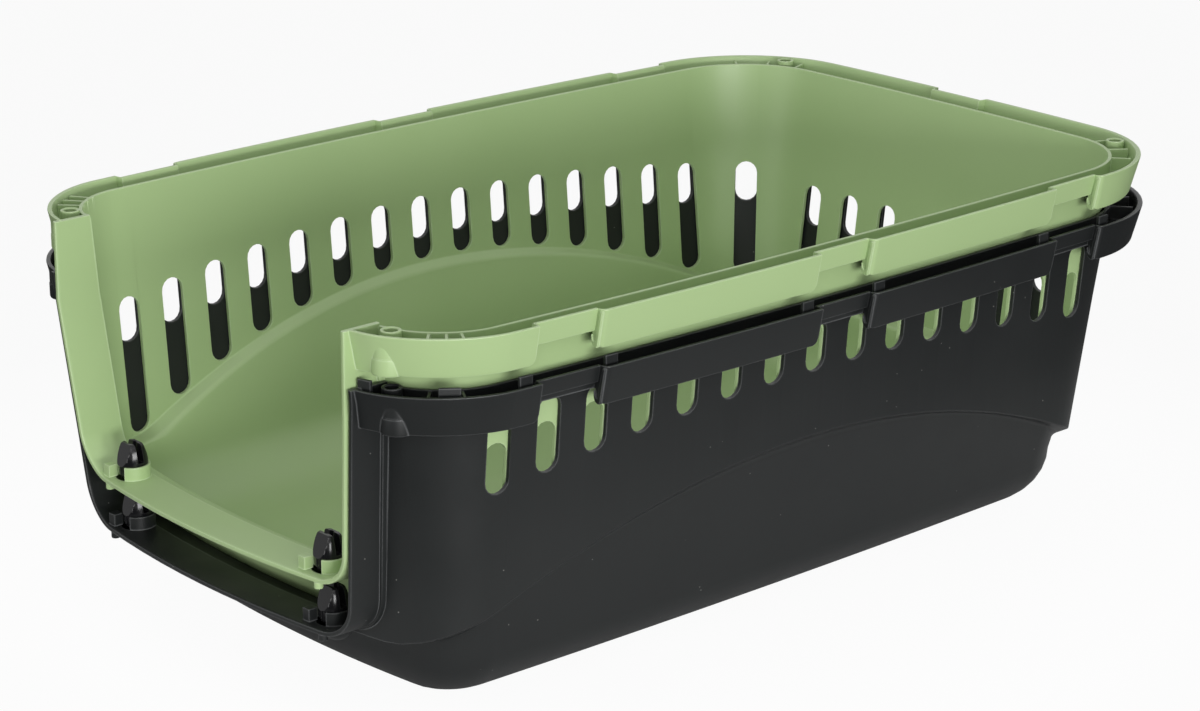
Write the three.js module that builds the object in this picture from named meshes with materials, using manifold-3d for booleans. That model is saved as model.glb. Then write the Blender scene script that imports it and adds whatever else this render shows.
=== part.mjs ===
// Hard plastic pet carrier, taken apart for storage: the roof half lies upside down inside the base half.
// Millimetres, +Z up, +Y towards the back wall, origin on the ground under the middle of the carrier.
import * as THREE from "three";
import { mergeVertices } from "three/addons/utils/BufferGeometryUtils.js";
import Module from "manifold-3d";

const wasm = await Module();
wasm.setup();

// Plan of the rim at its top edge: a round-cornered rectangle whose sides and ends bow outwards
const rimHalfWidth = 154.5;
const rimFrontReach = 240;
const rimBackReach = 241;
const rimFrontRadius = 40;
const rimBackRadius = 59;
const sideBow = 6.9;
const frontBow = 21.4;
const backBow = 5.2;

// Upper tub walls, from the rim down to the arched ledge
const wall = 2;
const shellDepth = 154;
const wallTopDrop = 1.5;
const tubSideInset = 14;
const tubFrontInset = 15.5;
const tubBackInset = 16;
const tubFrontRadius = 29;
const tubBackRadius = 43;
const sideDraftShare = 0.0845;
const frontDraftShare = 0.08;
const backDraftShare = 0.125;

// Arched ledge, and the narrower tub below it with its rounded floor edge
const archFrontInset = 41;
const archBackInset = 48;
const ledgeEndDepth = 113;
const ledgeDrop = 7;
const lowerLip = 3;
const lowerSideInset = 33;
const lowerFrontInset = 40;
const lowerBackInset = 39.5;
const lowerFrontRadius = 22;
const lowerBackRadius = 33;
const lowerDraftShare = 0.2;
const floorSideRun = 42;
const floorFrontRun = 30;
const floorBackRun = 20;
const floorFrontRadius = 12;
const floorBackRadius = 16;
const ledgeWallShare = 0.4;

// Rim channel and the skirt outside it, set in over each gap
const channelDepth = 8.5;
const webWall = 1.6;
const skirtWall = 2;
const skirtHeight = 17;
const skirtTaper = 3.5;
const gapLength = 33.5;
const frontGapSetback = 29.2;
const backGapSetback = 25.1;
const gapInset = 4;
const gapSkirtHeight = 11;
const gapStep = 1.6;
const gapPlateWall = 2;
const gapPlateReach = 8;
const gapPlateRadius = 3;

// Air slots: one row each side, one at each back corner, one row at the back
const slotWidth = 11.5;
const slotPitch = 25;
const backSlotPitch = 26;
const backSlotsEachWay = 3;
const slotLineDepth = 37.4;
const slotLineFall = 22;
const slotLineSpan = 220;
const slotBridge = 2;
const slotHeadDepth = 12.5;
const slotFootGap = 1.5;
const slotCutReach = 3;
const cornerSlotTurnShare = 0.52;

// Door opening with its frame, and the sill
const sillDepth = 113;
const doorLeanShare = 0.118;
const doorCornerRadius = 18;
const frameWall = 2.2;
const frameLean = 5.6;
const frameRearSetback = 34;

// Screw bosses, and fins across the channel in the corners
const frontBossInset = 39.9;
const frontBossSetback = 23.8;
const backBossInset = 42.7;
const backBossSetback = 15.8;
const bossRadius = 7.3;
const frontBossShift = 2.1;
const backBossShift = 0.2;
const bossLength = 17.5;
const bossRingRadius = 4.3;
const bossHoleRadius = 2;
const bossHoleDepth = 15;
const finWall = 1.6;
const finDrop = 3.5;
const finSink = 0.2;
const finTurnShares = [0.42, 0.6, 0.78];

// Locating tabs that stand in the base channel
const tabLength = 6.5;
const cornerTabLength = 10;
const tabWall = 1.8;
const tabRise = 3.5;
const tabClear = 2;
const tabSetback = 5;
const tabDoorTurnShare = 0.08;
const tabCornerTurnShare = 0.58;

// What the sill has for each door catch: a pad with a C-shaped socket, a stop, a nub below, a dome under the base
const catchInset = 82.5;
const catchSetback = 22.5;
const socketWall = 1.8;
const socketHeight = 6;
const socketOpenLeft = (67 * Math.PI) / 180;
const socketOpenRight = (27 * Math.PI) / 180;
const stopSide = 4.5;
const stopHeight = 5.5;
const stopX = 6.8;
const stopY = 7.3;
const nubRadius = 2;
const nubLength = 3;
const nubSetback = 3;
const nubAside = 4.5;
const domeRadius = 7.3;
const domeDrop = 6.8;
const domeSetback = 1.5;

// Door catch: a foot in the socket, a wider head split into two prongs, a key in the socket's opening
const catchRadius = 5.7;
const catchClear = 0.3;
const catchHeadRadius = 6.9;
const catchHeadStart = 6.3;
const catchHeadFull = 7;
const catchShoulder = 11;
const catchHeight = 14;
const catchTopRadius = 5.4;
const prongGap = 2.6;
const prongDepth = 6.5;
const pinHoleRadius = 2.4;
const keyWidth = 2.8;
const keyReach = 6.2;
const keyHeight = 7;
const keyTurn = -Math.PI / 9;
const keyClear = 1.4;

// How the halves nest: the base stands outside the roof half by just enough to clear it
const nestStep = 23.6;
const nestGap = 0.3;
const rimSpread = 1.6;
const tubSpread = wall + nestGap - sideDraftShare * nestStep;

const filletSteps = 3;
const frontCornerSteps = 5;
const backCornerSteps = 7;
const doorCornerSteps = 4;
const slotSteps = 3;
const roundSteps = 10;
const overrun = 5;
const mergeShare = 1e-4;
const finNudge = 0.02;

// Each half, and the sizes in which the two differ
const roofHalf = {
  rimOut: 0,
  tubOut: 0,
  archDepth: 69,
  ledgeFrontFall: 0,
  doorInset: 52.9,
  leanStart: 36,
  frameSetback: 0.2,
  slotsHang: false,
  hasTabs: false,
  hasDomes: false,
};
const baseHalf = {
  rimOut: rimSpread,
  tubOut: tubSpread,
  archDepth: 65,
  ledgeFrontFall: 4.6,
  doorInset: 47.5,
  leanStart: 6,
  frameSetback: 1.7,
  slotsHang: true,
  hasTabs: true,
  hasDomes: true,
};

// A closed mesh as a solid that can be joined and cut
function toSolid(geometry) {
  const bare = geometry.clone();
  bare.deleteAttribute("normal");
  bare.deleteAttribute("uv");
  const merged = mergeVertices(bare, wall * mergeShare);
  const points = new Float32Array(merged.attributes.position.array);
  const corners = merged.index.array;
  const faces = [];
  for (let i = 0; i < corners.length; i += 3) {
    const [a, b, c] = corners.slice(i, i + 3);
    if (a !== b && b !== c && c !== a) faces.push(a, b, c);
  }
  const mesh = new wasm.Mesh({ numProp: 3, vertProperties: points, triVerts: new Uint32Array(faces) });
  return new wasm.Manifold(mesh);
}

function toGeometry(solid) {
  const mesh = solid.getMesh();
  const geometry = new THREE.BufferGeometry();
  geometry.setAttribute("position", new THREE.BufferAttribute(mesh.vertProperties, mesh.numProp));
  geometry.setIndex(new THREE.BufferAttribute(mesh.triVerts, 1));
  geometry.computeVertexNormals();
  return geometry;
}

function middleOf(ring) {
  return ring.reduce((sum, p) => sum.add(p), new THREE.Vector3()).divideScalar(ring.length);
}

// A skin stretched over rings of points, closed over the first and the last ring, as a solid
function loft(rings) {
  const count = rings[0].length;
  const points = [...rings.flat(), middleOf(rings[0]), middleOf(rings.at(-1))];
  const faces = [];
  const firstMiddle = rings.length * count;
  const last = firstMiddle - count;
  for (let i = 0; i < count; i++) {
    const j = (i + 1) % count;
    for (let r = 0; r < last; r += count) {
      faces.push([r + i, r + count + j, r + j]);
      faces.push([r + i, r + count + i, r + count + j]);
    }
    faces.push([firstMiddle, i, j], [firstMiddle + 1, last + j, last + i]);
  }
  const volume = faces.reduce((sum, [a, b, c]) => sum + points[a].dot(points[b].clone().cross(points[c])), 0);
  const outward = volume > 0 ? faces : faces.map(([a, b, c]) => [a, c, b]);
  const geometry = new THREE.BufferGeometry().setFromPoints(points);
  geometry.setIndex(outward.flat());
  return toSolid(geometry);
}

// A flat shape in x and height, pushed along y from the front to the back
function slabAlongY(shape, front, back, steps) {
  const options = { depth: back - front, bevelEnabled: false, curveSegments: steps };
  return new THREE.ExtrudeGeometry(shape, options).rotateX(Math.PI / 2).translate(0, back, 0);
}

function post(radius, bottom, top) {
  const geometry = new THREE.CylinderGeometry(radius, radius, top - bottom, roundSteps);
  return geometry.rotateX(Math.PI / 2).translate(0, 0, (top + bottom) / 2);
}

function block(xSize, ySize, bottom, top) {
  return new THREE.BoxGeometry(xSize, ySize, top - bottom).translate(0, 0, (top + bottom) / 2);
}

// How far along the carrier a place is drawn in by the bow of the end walls
function endShare(x, atFront) {
  const bow = atFront ? frontBow / rimFrontReach : backBow / rimBackReach;
  return 1 - bow * (x / rimHalfWidth) ** 2;
}

function bowed(x, y) {
  return [x * (1 - (sideBow / rimHalfWidth) * (y / rimBackReach) ** 2), y * endShare(x, y < 0)];
}

// Where the straight side ends at a corner, once bowed
function sideEnd(form, atFront) {
  const share = endShare(rimHalfWidth - form.side, atFront);
  if (atFront) return (rimFrontReach - form.front - form.frontRadius) * share;
  return (rimBackReach - form.back - form.backRadius) * share;
}

// A form is how far in from the rim's plan a level lies at the side, front and back, with its corner radii.
function rimForm(inset) {
  return { side: inset, front: inset, back: inset, frontRadius: rimFrontRadius, backRadius: rimBackRadius };
}

function upperForm(half, depth, thick) {
  const inset = thick - half.tubOut;
  return {
    side: tubSideInset + sideDraftShare * depth + inset,
    front: tubFrontInset + frontDraftShare * depth + inset,
    back: tubBackInset + backDraftShare * depth + inset,
    frontRadius: tubFrontRadius - thick,
    backRadius: tubBackRadius - thick,
  };
}

const floorStart = ledgeEndDepth + ledgeDrop + lowerLip;
const archMiddle = (rimBackReach - archBackInset - rimFrontReach + archFrontInset) / 2;
const archSpan = (rimBackReach - archBackInset + rimFrontReach - archFrontInset) / 2;
const frontGapAt = frontGapSetback - sideEnd(rimForm(0), true);
const backGapAt = sideEnd(rimForm(0), false) - backGapSetback;
const sideGapsAt = [frontGapAt, 0, backGapAt];

function lowerForm(half, depth, turn, thick) {
  const inset = Math.min(0, depth - floorStart) * lowerDraftShare + thick * Math.cos(turn) - half.tubOut;
  const run = 1 - Math.cos(turn);
  return {
    side: lowerSideInset + inset + floorSideRun * run,
    front: lowerFrontInset + inset + floorFrontRun * run,
    back: lowerBackInset + inset + floorBackRun * run,
    frontRadius: THREE.MathUtils.lerp(lowerFrontRadius - thick, floorFrontRadius, run),
    backRadius: THREE.MathUtils.lerp(lowerBackRadius - thick, floorBackRadius, run),
  };
}

// Stations round the right-hand half of the plan, from the front middle to the back middle
function makeStations() {
  const corner = (zone, steps, start) =>
    Array.from({ length: steps + 1 }, (_, i) => ({ zone, angle: start + ((i / steps) * Math.PI) / 2 }));
  const gapEnds = (zone, middle) => {
    const [start, end] = [middle - gapLength / 2, middle + gapLength / 2];
    return [
      { zone, at: start },
      { zone, at: start + gapStep, inGap: true, plainAt: start },
      { zone, at: end - gapStep, inGap: true, plainAt: end },
      { zone, at: end },
    ];
  };
  const backGap = gapEnds("back", 0);
  return [
    ...[0, 1 / 3, 2 / 3].map((share) => ({ zone: "front", share })),
    ...corner("frontCorner", frontCornerSteps, -Math.PI / 2),
    ...gapEnds("side", frontGapAt),
    { zone: "side", at: frontGapAt / 2 },
    ...gapEnds("side", 0),
    { zone: "side", at: backGapAt / 2 },
    ...gapEnds("side", backGapAt),
    ...corner("backCorner", backCornerSteps, 0),
    { zone: "back", at: (gapLength / 2 + rimHalfWidth - rimBackRadius) / 2 },
    backGap[3],
    backGap[2],
    { zone: "back", at: 0, inGap: true },
  ];
}

function placeOn(station, form) {
  const half = rimHalfWidth - form.side;
  const frontStraight = rimFrontReach - form.front - form.frontRadius;
  const backStraight = rimBackReach - form.back - form.backRadius;
  const { zone, at, angle, share } = station;
  if (zone === "front") return bowed(share * (half - form.frontRadius), form.front - rimFrontReach);
  if (zone === "frontCorner") {
    const [c, s] = [Math.cos(angle), Math.sin(angle)];
    return bowed(half - form.frontRadius + form.frontRadius * c, form.frontRadius * s - frontStraight);
  }
  if (zone === "backCorner") {
    const [c, s] = [Math.cos(angle), Math.sin(angle)];
    return bowed(half - form.backRadius + form.backRadius * c, form.backRadius * s + backStraight);
  }
  if (zone === "back") {
    const along = (at * (half - form.backRadius)) / (rimHalfWidth - rimBackRadius);
    return bowed(along, rimBackReach - form.back);
  }
  const atFront = at < 0;
  const along = (at * sideEnd(form, atFront)) / sideEnd(rimForm(0), atFront);
  return bowed(half, along / endShare(half, atFront));
}

const stations = makeStations();

// A ring round the whole plan: level says for a station how deep the ring lies there and what form it has.
// On a plain ring the stations that only the gaps need fall together with their neighbours.
function ringOf(level, isPlain = false) {
  const right = stations.map((station) => {
    const here = isPlain && station.plainAt ? { ...station, at: station.plainAt } : station;
    const { depth, form } = level(here);
    const [x, y] = placeOn(here, form);
    return new THREE.Vector3(x, y, -depth);
  });
  const mirrored = right.slice(1, -1).reverse();
  return [...right, ...mirrored.map((p) => new THREE.Vector3(-p.x, p.y, p.z))];
}

function ledgeDepth(half, y) {
  const arch = THREE.MathUtils.lerp(half.archDepth, ledgeEndDepth, ((y - archMiddle) / archSpan) ** 2);
  return Math.min(arch, ledgeEndDepth + (y < 0 ? half.ledgeFrontFall : 0));
}

// Rings of one face of the tub, from the floor up to the ledge: thick is zero outside and the wall inside.
function tubRings(half, thick) {
  const floor = Array.from({ length: filletSteps + 1 }, (_, i) => {
    const turn = ((filletSteps - i) / filletSteps) * (Math.PI / 2);
    const depth = floorStart + (shellDepth - floorStart - thick) * Math.sin(turn);
    return ringOf(() => ({ depth, form: lowerForm(half, depth, turn, thick) }), true);
  });
  const ledgeRing = (drop, lowest, formAt) =>
    ringOf((station) => {
      const y = placeOn(station, upperForm(half, ledgeEndDepth, 0))[1];
      const depth = Math.min(ledgeDepth(half, y) + drop, lowest) - thick * ledgeWallShare;
      return { depth, form: formAt(depth) };
    }, true);
  const foot = ledgeRing(ledgeDrop, floorStart - lowerLip, (depth) => lowerForm(half, depth, 0, thick));
  const edge = ledgeRing(0, floorStart, (depth) => upperForm(half, depth, thick));
  return [...floor, foot, edge];
}

function upperRing(half, depth, thick) {
  return ringOf(() => ({ depth, form: upperForm(half, depth, thick) }));
}

// A ring on the skirt, which leans in as it goes down and stands further in over the gaps
function skirtRing(half, depthAt, thick) {
  return ringOf((station) => {
    const depth = depthAt(station);
    const inset = thick - half.rimOut + (skirtTaper * depth) / skirtHeight + (station.inGap ? gapInset : 0);
    return { depth, form: rimForm(inset) };
  });
}

// The moulding before it is cut: inside floor, up the wall, over the channel and skirt, down outside
function plainShell(half) {
  const skirtFoot = (station) => (station.inGap ? gapSkirtHeight : skirtHeight);
  return loft([
    ...tubRings(half, wall),
    upperRing(half, wallTopDrop, wall),
    upperRing(half, wallTopDrop, 0),
    upperRing(half, channelDepth, 0),
    skirtRing(half, () => channelDepth, skirtWall),
    skirtRing(half, () => 0, skirtWall),
    skirtRing(half, () => 0, 0),
    skirtRing(half, skirtFoot, 0),
    skirtRing(half, skirtFoot, skirtWall),
    skirtRing(half, () => channelDepth + webWall, skirtWall),
    upperRing(half, channelDepth + webWall, 0),
    ...tubRings(half, 0).reverse(),
  ]);
}

// The room inside the tub, open at the top, which nothing added to the wall may enter
function roomInside(half) {
  return loft([...tubRings(half, wall), upperRing(half, wallTopDrop, wall), upperRing(half, -overrun, wall)]);
}

// Outline of the door opening on the right, from the top of the jamb to the middle of the sill
function doorOutline(half, top, out) {
  const topX = rimHalfWidth - half.doorInset;
  const line = topX + doorLeanShare * half.leanStart;
  const centreDepth = sillDepth - doorCornerRadius;
  const slant = Math.hypot(1, doorLeanShare);
  const centreX = line - doorLeanShare * centreDepth - doorCornerRadius * slant;
  const points = [[topX + out, top], [topX + out, half.leanStart]];
  const start = Math.atan(doorLeanShare);
  for (let i = 0; i <= doorCornerSteps; i++) {
    const angle = THREE.MathUtils.lerp(start, Math.PI / 2, i / doorCornerSteps);
    const radius = doorCornerRadius + out;
    points.push([centreX + radius * Math.cos(angle), centreDepth + radius * Math.sin(angle)]);
  }
  for (const share of [2 / 3, 1 / 3, 0]) points.push([centreX * share, sillDepth + out]);
  const left = points.slice(0, -1).reverse();
  return [...points, ...left.map(([x, depth]) => [-x, depth])];
}

function frameFrontY(half, x, depth) {
  const atMiddle = half.frameSetback - rimFrontReach + frameLean * (depth / sillDepth);
  return atMiddle + frontBow * (x / rimHalfWidth) ** 2;
}

// Jambs and sill: one band round the opening, from its bowed front edge back into the tub's front wall
function doorFrame(half) {
  const inner = doorOutline(half, 0, 0);
  const outer = doorOutline(half, 0, frameWall);
  const sections = inner.map(([x, depth], i) => {
    const [outerX, outerDepth] = outer[i];
    return [
      new THREE.Vector3(x, frameFrontY(half, x, depth), -depth),
      new THREE.Vector3(outerX, frameFrontY(half, x, depth), -outerDepth),
      new THREE.Vector3(outerX, frameRearSetback - rimFrontReach, -outerDepth),
      new THREE.Vector3(x, frameRearSetback - rimFrontReach, -depth),
    ];
  });
  return loft(sections);
}

function doorCut(half) {
  const outline = doorOutline(half, -overrun, 0).map(([x, depth]) => new THREE.Vector2(x, -depth));
  const shape = new THREE.Shape(outline);
  return toSolid(slabAlongY(shape, -rimFrontReach - overrun, frameRearSetback + wall - rimFrontReach, 1));
}

// A slot with round ends, as a bar along y
function slotBar(head, foot, front, back) {
  const radius = slotWidth / 2;
  const shape = new THREE.Shape();
  shape.absarc(0, -head - radius, radius, 0, Math.PI, false);
  shape.absarc(0, -foot + radius, radius, Math.PI, 2 * Math.PI, false);
  return slabAlongY(shape, front, back, slotSteps);
}

// The roof's slots run from the slot line down to the ledge; the base's from under its rim to the slot line.
function slotSpan(half, y) {
  const line = slotLineDepth + slotLineFall * (y / slotLineSpan) ** 2;
  if (half.slotsHang) return [slotHeadDepth, line - slotBridge];
  return [line, ledgeDepth(half, y) - slotFootGap];
}

function slotCuts(half) {
  const cuts = [];
  const sideReach = rimHalfWidth - tubSideInset + slotCutReach;
  const atLine = upperForm(half, slotLineDepth, 0);
  const toFront = Math.floor((sideEnd(atLine, true) + archMiddle) / slotPitch);
  const toBack = Math.floor((sideEnd(atLine, false) - archMiddle) / slotPitch);
  for (let i = -toFront; i <= toBack; i++) {
    const y = archMiddle + i * slotPitch;
    const bar = slotBar(...slotSpan(half, y), -sideReach, sideReach);
    cuts.push(bar.rotateZ(Math.PI / 2).translate(0, y, 0));
  }
  const backReach = rimBackReach - tubBackInset;
  const backSpan = slotSpan(half, backReach - wall);
  for (let i = -backSlotsEachWay; i <= backSlotsEachWay; i++) {
    const bar = slotBar(...backSpan, backReach - tubBackRadius, backReach + slotCutReach);
    cuts.push(bar.translate(i * backSlotPitch, 0, 0));
  }
  const cornerX = rimHalfWidth - tubSideInset - tubBackRadius;
  const cornerSpan = slotSpan(half, backReach - tubBackRadius);
  for (const side of [-1, 1]) {
    const bar = slotBar(...cornerSpan, tubBackRadius / 2, tubBackRadius + slotCutReach);
    bar.rotateZ((-side * (1 - cornerSlotTurnShare) * Math.PI) / 2);
    cuts.push(bar.translate(side * cornerX, backReach - tubBackRadius, 0));
  }
  return cuts.map(toSolid);
}

const bossPlaces = [-1, 1].flatMap((side) => [
  [side * (rimHalfWidth - frontBossInset), frontBossSetback - rimFrontReach, -frontBossShift],
  [side * (rimHalfWidth - backBossInset), rimBackReach - backBossSetback, backBossShift],
]);

// Each boss bulges under the channel, nearer to the end wall than the ring that stands in the channel.
function bosses() {
  return bossPlaces.flatMap(([x, y, shift]) => {
    const bulge = post(bossRadius, -bossLength, -channelDepth - webWall / 2);
    const ring = post(bossRingRadius, -channelDepth - webWall, 0);
    return [bulge.translate(x, y + shift, 0), ring.translate(x, y, 0)].map(toSolid);
  });
}

function bossHoles() {
  const hole = post(bossHoleRadius, -bossHoleDepth, overrun);
  return bossPlaces.map(([x, y]) => toSolid(hole.clone().translate(x, y, 0)));
}

// A place on the rim's plan with the direction of the rim there, for what stands in the channel
function onRim(station, inset) {
  const { at, angle } = station;
  const next = { ...station, at: at + gapStep, angle: angle + finNudge };
  const [x, y] = placeOn(station, rimForm(inset));
  const [nextX, nextY] = placeOn(next, rimForm(inset));
  return { x, y, heading: Math.atan2(nextY - y, nextX - x) };
}

function onBothSides(geometry, { x, y, heading }) {
  const right = geometry.clone().rotateZ(heading).translate(x, y, 0);
  const left = geometry.clone().rotateZ(-heading).translate(-x, y, 0);
  return [toSolid(right), toSolid(left)];
}

// Fins across the channel at the corners, from within the skirt's wall to within the tub's
function fins(half) {
  const start = skirtWall + finSink - half.rimOut;
  const end = tubFrontInset + finSink - half.tubOut;
  const fin = block(finWall, end - start, -channelDepth - webWall / 2, -finDrop);
  return finTurnShares.flatMap((share) => {
    const turn = (share * Math.PI) / 2;
    const front = onRim({ zone: "frontCorner", angle: turn - Math.PI / 2 }, (start + end) / 2);
    const back = onRim({ zone: "backCorner", angle: turn }, (start + end) / 2);
    return [...onBothSides(fin, front), ...onBothSides(fin, back)];
  });
}

// The plate that closes the skirt at the back end of each side gap, its lower inner corner rounded
function gapPlates(half) {
  const solids = [];
  for (const side of [-1, 1]) {
    const shape = new THREE.Shape();
    shape.moveTo(0, -channelDepth - webWall / 2);
    shape.lineTo(-side * gapPlateReach, -channelDepth - webWall / 2);
    shape.lineTo(-side * gapPlateReach, gapPlateRadius - skirtHeight);
    shape.lineTo(side * (gapPlateRadius - gapPlateReach), -skirtHeight);
    shape.lineTo(0, -skirtHeight);
    for (const middle of sideGapsAt) {
      const station = { zone: "side", at: middle + gapLength / 2 };
      const { x, y } = onRim(station, skirtTaper + finSink - half.rimOut);
      solids.push(toSolid(slabAlongY(shape, y, y + gapPlateWall, 1).translate(side * x, 0, 0)));
    }
  }
  return solids;
}

// Tabs in the base channel: at both ends of every gap, at the front corners and beside the door
function tabs() {
  const tab = block(tabLength, tabWall, -channelDepth - webWall / 2, tabRise);
  const cornerTab = block(cornerTabLength, tabWall, -channelDepth - webWall / 2, tabRise);
  const inset = skirtWall + tabClear + tabWall / 2 - rimSpread;
  const atCorner = (share) => onRim({ zone: "frontCorner", angle: ((share - 1) * Math.PI) / 2 }, inset);
  const reach = gapLength / 2 + tabSetback;
  const sideAt = sideGapsAt.flatMap((middle) => [middle - reach, middle + reach]);
  const places = [
    ...sideAt.map((at) => onRim({ zone: "side", at }, inset)),
    onRim({ zone: "back", at: reach }, inset),
    atCorner(tabDoorTurnShare),
  ];
  const cornerTabs = onBothSides(cornerTab, atCorner(tabCornerTurnShare));
  return [...places.flatMap((place) => onBothSides(tab, place)), ...cornerTabs];
}

const catchX = rimHalfWidth - catchInset;

function catchY(half) {
  return catchSetback + half.frameSetback - rimFrontReach;
}

// Pad, socket, stop and nub of one catch, on the sill, with the turning axis at the origin
function catchSeat(half, x) {
  const socketRadius = catchRadius + catchClear + socketWall;
  const start = -Math.PI / 2 + socketOpenRight;
  const end = 1.5 * Math.PI - socketOpenLeft;
  const ring = new THREE.Shape();
  ring.absarc(0, 0, socketRadius, start, end, false);
  ring.absarc(0, 0, socketRadius - socketWall, end, start, true);
  const depth = socketHeight + frameWall / 2;
  const options = { depth, bevelEnabled: false, curveSegments: roundSteps };
  const socket = new THREE.ExtrudeGeometry(ring, options).translate(0, 0, -frameWall / 2);
  const stop = block(stopSide, stopSide, -frameWall / 2, stopHeight).translate(-stopX, -stopY, 0);
  const nubY = frameFrontY(half, x, sillDepth) + nubSetback - catchY(half);
  const nub = post(nubRadius, -frameWall - nubLength, -frameWall / 2).translate(Math.sign(x) * nubAside, nubY, 0);
  const pad = post(socketRadius, -frameWall, 0);
  const pieces = [socket, stop, nub, pad].map(toSolid);
  if (half.hasDomes) {
    const ball = new THREE.SphereGeometry(domeRadius, roundSteps, roundSteps / 2);
    const dome = ball.rotateX(Math.PI / 2).scale(1, 1, domeDrop / domeRadius).translate(0, 0, -frameWall);
    const side = 2 * domeRadius + wall;
    const keep = block(side, side, -domeRadius - frameWall, -frameWall / 2);
    pieces.push(toSolid(dome).intersect(toSolid(keep)).translate([0, domeSetback, 0]));
  }
  return pieces.map((solid) => solid.translate([x, catchY(half), -sillDepth]));
}

function joined(solids) {
  return solids.reduce((whole, solid) => whole.add(solid));
}

// One half of the carrier, with its rim plane at z = 0
function shellGeometry(half) {
  const added = [doorFrame(half), ...bosses(), ...fins(half), ...gapPlates(half)];
  if (half.hasTabs) added.push(...tabs());
  const onWall = joined(added).subtract(roomInside(half));
  const seats = joined([...catchSeat(half, catchX), ...catchSeat(half, -catchX)]);
  const opened = plainShell(half).subtract(doorCut(half)).subtract(joined(slotCuts(half)));
  return toGeometry(opened.add(onWall).add(seats).subtract(joined(bossHoles())));
}

// A door catch, with its turning axis at the origin and the sill at z = 0
function catchGeometry() {
  const profile = [
    [0, catchClear],
    [catchRadius, catchClear],
    [catchRadius, catchHeadStart],
    [catchHeadRadius, catchHeadFull],
    [catchHeadRadius, catchShoulder],
    [catchTopRadius, catchHeight],
    [0, catchHeight],
  ].map(([radius, height]) => new THREE.Vector2(radius, height));
  const body = toSolid(new THREE.LatheGeometry(profile, roundSteps).rotateX(Math.PI / 2));
  const key = block(keyWidth, keyReach, keyClear, keyHeight).translate(0, -keyReach / 2, 0).rotateZ(keyTurn);
  const [gapBottom, gapTop] = [catchHeight - prongDepth, catchHeight + overrun];
  const gap = block(2 * catchHeadRadius + overrun, prongGap, gapBottom, gapTop);
  const pinHole = post(pinHoleRadius, gapBottom, gapTop);
  return toGeometry(body.add(toSolid(key)).subtract(toSolid(gap)).subtract(toSolid(pinHole)));
}

function plastic(name, color, roughness) {
  return new THREE.MeshStandardMaterial({ name, color, roughness, metalness: 0 });
}

const lightGreen = plastic("light_green_plastic", 0x9dbc83, 0.45);
const charcoal = plastic("charcoal_plastic", 0x2b2f31, 0.42);
const blackGloss = plastic("black_gloss_plastic", 0x131414, 0.3);

function addPiece(group, name, geometry, material, place = new THREE.Vector3()) {
  const mesh = new THREE.Mesh(geometry, material);
  mesh.name = name;
  mesh.position.copy(place);
  group.add(mesh);
}

function addHalf(carrier, name, half, material, rimHeight) {
  const group = new THREE.Group();
  group.position.z = rimHeight;
  addPiece(group, `${name}_shell`, shellGeometry(half), material);
  const catchShape = catchGeometry();
  for (const [side, x] of [["left", -catchX], ["right", catchX]]) {
    const place = new THREE.Vector3(x, catchY(half), -sillDepth);
    addPiece(group, `${name}_door_catch_${side}`, catchShape, blackGloss, place);
  }
  carrier.add(group);
}

const carrier = new THREE.Group();
addHalf(carrier, "base", baseHalf, charcoal, shellDepth);
addHalf(carrier, "top", roofHalf, lightGreen, shellDepth + nestStep);

// Stand the carrier over the origin by the middle of its length
carrier.updateMatrixWorld(true);
carrier.position.y = -new THREE.Box3().setFromObject(carrier, true).getCenter(new THREE.Vector3()).y;

export default carrier;
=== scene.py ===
# %% [markdown]
# This lesson dresses a hard plastic pet carrier that has been taken apart for storage: the light green
# roof half lies upside down inside the charcoal base half. The imported CAD model is loaded first and never
# changed, because it fixes every size.

# %% Load the imported model
import math

import bmesh
import bpy
import numpy as np
from mathutils import Matrix, Vector


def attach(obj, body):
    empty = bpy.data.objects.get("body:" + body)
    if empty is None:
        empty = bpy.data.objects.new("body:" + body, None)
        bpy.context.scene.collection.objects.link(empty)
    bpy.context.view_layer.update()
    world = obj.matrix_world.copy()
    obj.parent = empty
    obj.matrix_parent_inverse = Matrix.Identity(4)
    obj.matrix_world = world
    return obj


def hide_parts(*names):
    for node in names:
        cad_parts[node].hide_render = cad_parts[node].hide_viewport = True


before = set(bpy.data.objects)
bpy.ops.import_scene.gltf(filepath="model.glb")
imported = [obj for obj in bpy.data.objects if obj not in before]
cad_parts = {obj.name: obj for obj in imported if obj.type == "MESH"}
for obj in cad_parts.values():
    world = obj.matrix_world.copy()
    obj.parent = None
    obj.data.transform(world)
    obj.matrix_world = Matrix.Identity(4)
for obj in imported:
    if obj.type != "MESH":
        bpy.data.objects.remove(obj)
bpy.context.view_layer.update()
MM = 0.001
print("nodes:", sorted(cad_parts))

# %% [markdown]
# The camera stands where the photographer's stood. Its place, turn and focal length were found by laying
# the rim's known plan over its corners in the photograph. A long lens is typical of a catalogue picture,
# and keeps the near and far slots almost the same size.

# %% Camera
camera_data = bpy.data.cameras.new("catalogue_camera")
camera_data.sensor_width = 36
camera_data.lens = 96.375
camera_data.clip_start = 0.05
camera_data.clip_end = 50
camera = bpy.data.objects.new("catalogue_camera", camera_data)
bpy.context.scene.collection.objects.link(camera)
camera_pitch, camera_yaw, camera_roll = 0.32103, 0.844107, 0.000886
camera_place = (1.062118, -0.95316, 0.564282)
aim = Matrix.Rotation(camera_yaw, 4, "Z") @ Matrix.Rotation(math.pi / 2 - camera_pitch, 4, "X")
camera.matrix_world = Matrix.Translation(camera_place) @ aim @ Matrix.Rotation(camera_roll, 4, "Z")
bpy.context.scene.camera = camera
print("camera", [round(v, 3) for v in camera.location], "lens", camera_data.lens)

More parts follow.
